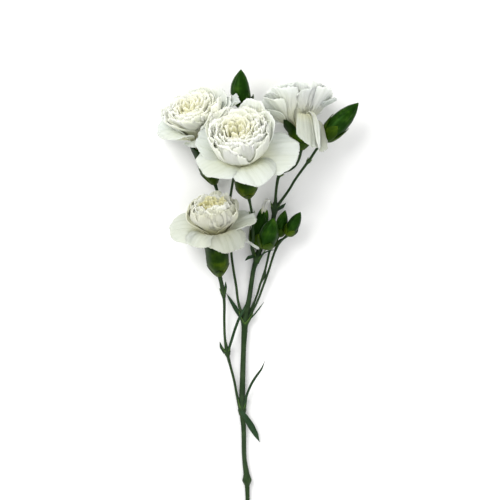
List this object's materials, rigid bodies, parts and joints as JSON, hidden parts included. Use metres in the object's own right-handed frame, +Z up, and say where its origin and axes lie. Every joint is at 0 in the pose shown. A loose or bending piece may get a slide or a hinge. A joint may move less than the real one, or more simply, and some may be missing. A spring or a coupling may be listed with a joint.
{
  "type": "cut carnation",
  "caption": "Cut spray carnation stem with open white double blooms, green buds and thin jointed flower stems, lying flat as it would on a table",
  "frame": {"origin": "under the middle of the spray's bounding box, on the surface that it lies on", "axes": "+Y runs along the stem from the cut end to the flowers, +X is the right-hand side seen from above with the flowers at the top, +Z is up from the surface"},
  "size_m": [0.112, 0.2476, 0.064],
  "materials": {
    "petal_white": "matte",
    "petal_cream": "matte",
    "calyx_green": "satin",
    "bud_green": "satin",
    "stem_green": "satin",
    "leaf_green": "matte"
  },
  "bodies": {
    "root": {"bract_fork": "leaf_green", "bract_front": "leaf_green", "bract_joint": "leaf_green", "bract_knot": "leaf_green", "bract_low": "leaf_green", "bract_thread": "leaf_green", "bud_front": "bud_green", "bud_middle": "bud_green", "bud_opening": "bud_green", "bud_right": "bud_green", "bud_small": "bud_green", "bud_top": "bud_green", "calyx_front": "calyx_green", "calyx_left": "calyx_green", "calyx_low": "calyx_green", "calyx_right": "calyx_green", "heart_front": "petal_cream", "heart_left": "petal_cream", "heart_low": "petal_cream", "heart_right": "petal_cream", "leaf_curved": "leaf_green", "leaf_joint": "leaf_green", "leaf_lance": "leaf_green", "leaf_left": "leaf_green", "leaf_right": "leaf_green", "petal_front_back_left": "petal_white", "petal_front_back_right": "petal_white", "petal_front_left": "petal_white", "petal_front_lower": "petal_white", "petal_front_lower_left": "petal_white", "petal_front_right": "petal_white", "petal_left_lower": "petal_white", "petal_left_lower_left": "petal_white", "petal_left_right": "petal_white", "petal_left_under_left": "petal_white", "petal_left_under_right": "petal_white", "petal_low_centre": "petal_white", "petal_low_left": "petal_white", "petal_low_lower_right": "petal_white", "petal_low_right": "petal_white", "petal_low_under_left": "petal_white", "petal_low_under_right": "petal_white", "petal_opening_bud": "petal_cream", "petal_right_folded": "petal_white", "petal_right_hanging": "petal_white", "petal_right_left": "petal_white", "petal_right_under_left": "petal_white", "petal_right_under_right": "petal_white", "stem_bud_middle": "stem_green", "stem_bud_right": "stem_green", "stem_bud_small": "stem_green", "stem_bud_top": "stem_green", "stem_front_bloom": "stem_green", "stem_left_bloom": "stem_green", "stem_low_bloom": "stem_green", "stem_main": "stem_green", "stem_right_bloom": "stem_green"}
  },
  "joints": []
}
